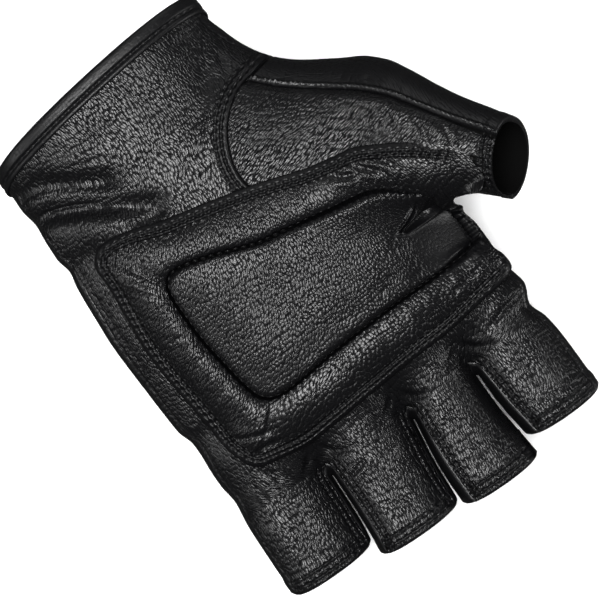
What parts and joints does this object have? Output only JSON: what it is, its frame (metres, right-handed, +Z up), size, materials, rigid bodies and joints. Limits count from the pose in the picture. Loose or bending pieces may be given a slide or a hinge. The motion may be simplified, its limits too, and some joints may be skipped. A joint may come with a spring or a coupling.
{
  "type": "motorcycle glove",
  "caption": "Fingerless leather motorcycle glove for the left hand, lying palm up, with a padded palm, a thumb with an open end and a bound cuff.",
  "frame": {"origin": "on the surface that the glove lies on, at the middle of its bounding box seen from above", "axes": "+Y from the cuff to the fingertips, +X from the thumb side to the little-finger side, +Z up, from the back of the hand to the palm"},
  "size_m": [0.1324, 0.1657, 0.0499],
  "materials": {
    "grain_leather": "black pebbled grain leather, semi-gloss",
    "pad_leather": "black pebbled grain leather over padding, semi-gloss",
    "smooth_leather": "black fine-grain leather, satin",
    "binding_leather": "black smooth leather strip, soft sheen"
  },
  "bodies": {
    "root": {"palm_panel": "grain_leather", "back_panel": "grain_leather", "thumb_front": "grain_leather", "palm_pad": "pad_leather", "thumb_back": "smooth_leather", "gusset_index": "smooth_leather", "gusset_middle": "smooth_leather", "gusset_ring": "smooth_leather", "cuff_binding": "binding_leather"}
  },
  "joints": []
}
